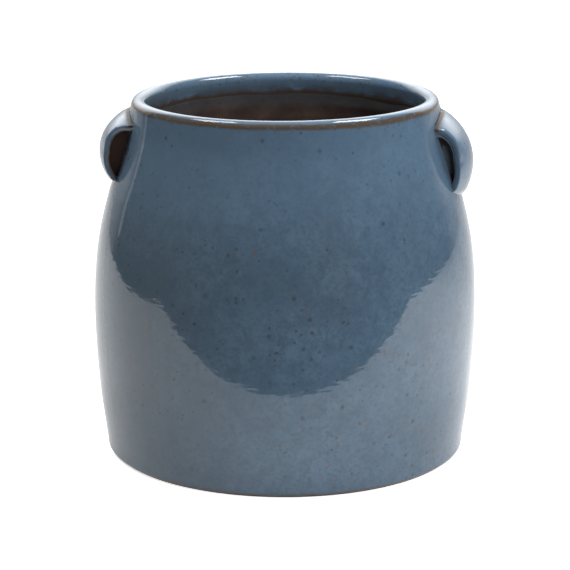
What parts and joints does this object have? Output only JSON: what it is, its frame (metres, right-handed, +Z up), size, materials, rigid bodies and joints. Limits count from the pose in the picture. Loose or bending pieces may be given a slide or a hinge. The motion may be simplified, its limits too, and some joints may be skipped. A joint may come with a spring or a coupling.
{
  "type": "stoneware vase with strap ears",
  "caption": "Round-shouldered glazed stoneware vase with a thick rounded lip, a wide mouth and a pair of strap ears high on the shoulder.",
  "frame": {"origin": "centre of the foot ring, on the surface the vase stands on", "axes": "+Z up along the vase's axis; the ears are near the X axis, the right one towards +X; -Y is the front"},
  "size_m": [0.24, 0.24, 0.224],
  "materials": {
    "bare_clay": "unglazed dark brown stoneware, dry and slightly gritty",
    "blue_glaze": "glossy blue-grey glaze with brown iron specks, breaking brown on edges",
    "glazed_ear": "glossy blue-grey glaze, thin and brown on edges and in seams"
  },
  "bodies": {
    "root": {"clay_wall": "bare_clay", "clay_floor": "bare_clay", "glaze_coat": "blue_glaze", "ear_left": "glazed_ear", "ear_left_luting": "glazed_ear", "glaze_ear_left": "blue_glaze", "ear_right": "glazed_ear", "ear_right_luting": "glazed_ear", "glaze_ear_right": "blue_glaze"}
  },
  "joints": []
}
